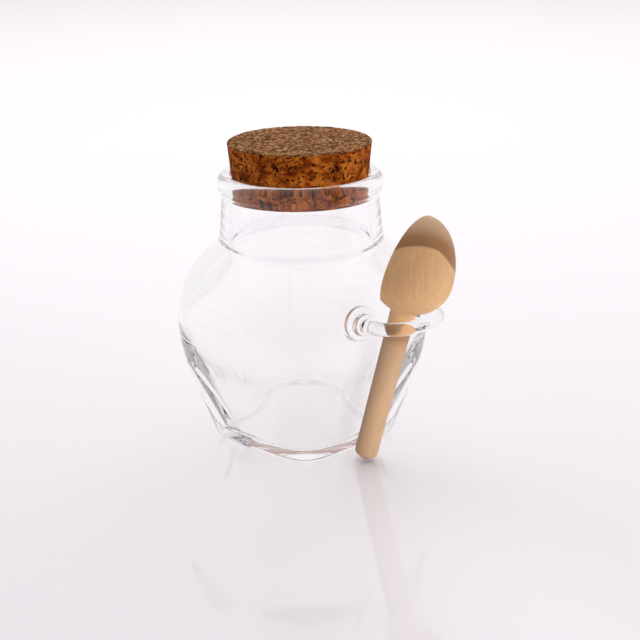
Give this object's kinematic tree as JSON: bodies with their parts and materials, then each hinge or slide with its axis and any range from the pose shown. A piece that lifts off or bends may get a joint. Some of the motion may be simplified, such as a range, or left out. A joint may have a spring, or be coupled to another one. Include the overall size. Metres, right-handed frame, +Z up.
{
  "type": "glass storage jar with cork stopper and wooden spoon",
  "caption": "Clear glass jar with a rounded square base, globe belly and round neck, closed by a tapered cork, with a wooden spoon hanging in a glass loop on its side.",
  "frame": {"origin": "middle of the base, on the resting plane, on the jar's axis", "axes": "+Z up the jar's axis, -Y out through the middle of the face that carries the loop and spoon, +X to the right when that face is looked at"},
  "size_m": [0.1012, 0.1367, 0.1354],
  "materials": {
    "glass": "clear, thick pressed and blown glass",
    "cork": "agglomerated cork, matt",
    "spoon_wood": "turned hardwood, sanded smooth"
  },
  "bodies": {
    "root": {"glass_jar": "glass", "cork_stopper": "cork", "wooden_spoon": "spoon_wood"}
  },
  "joints": []
}
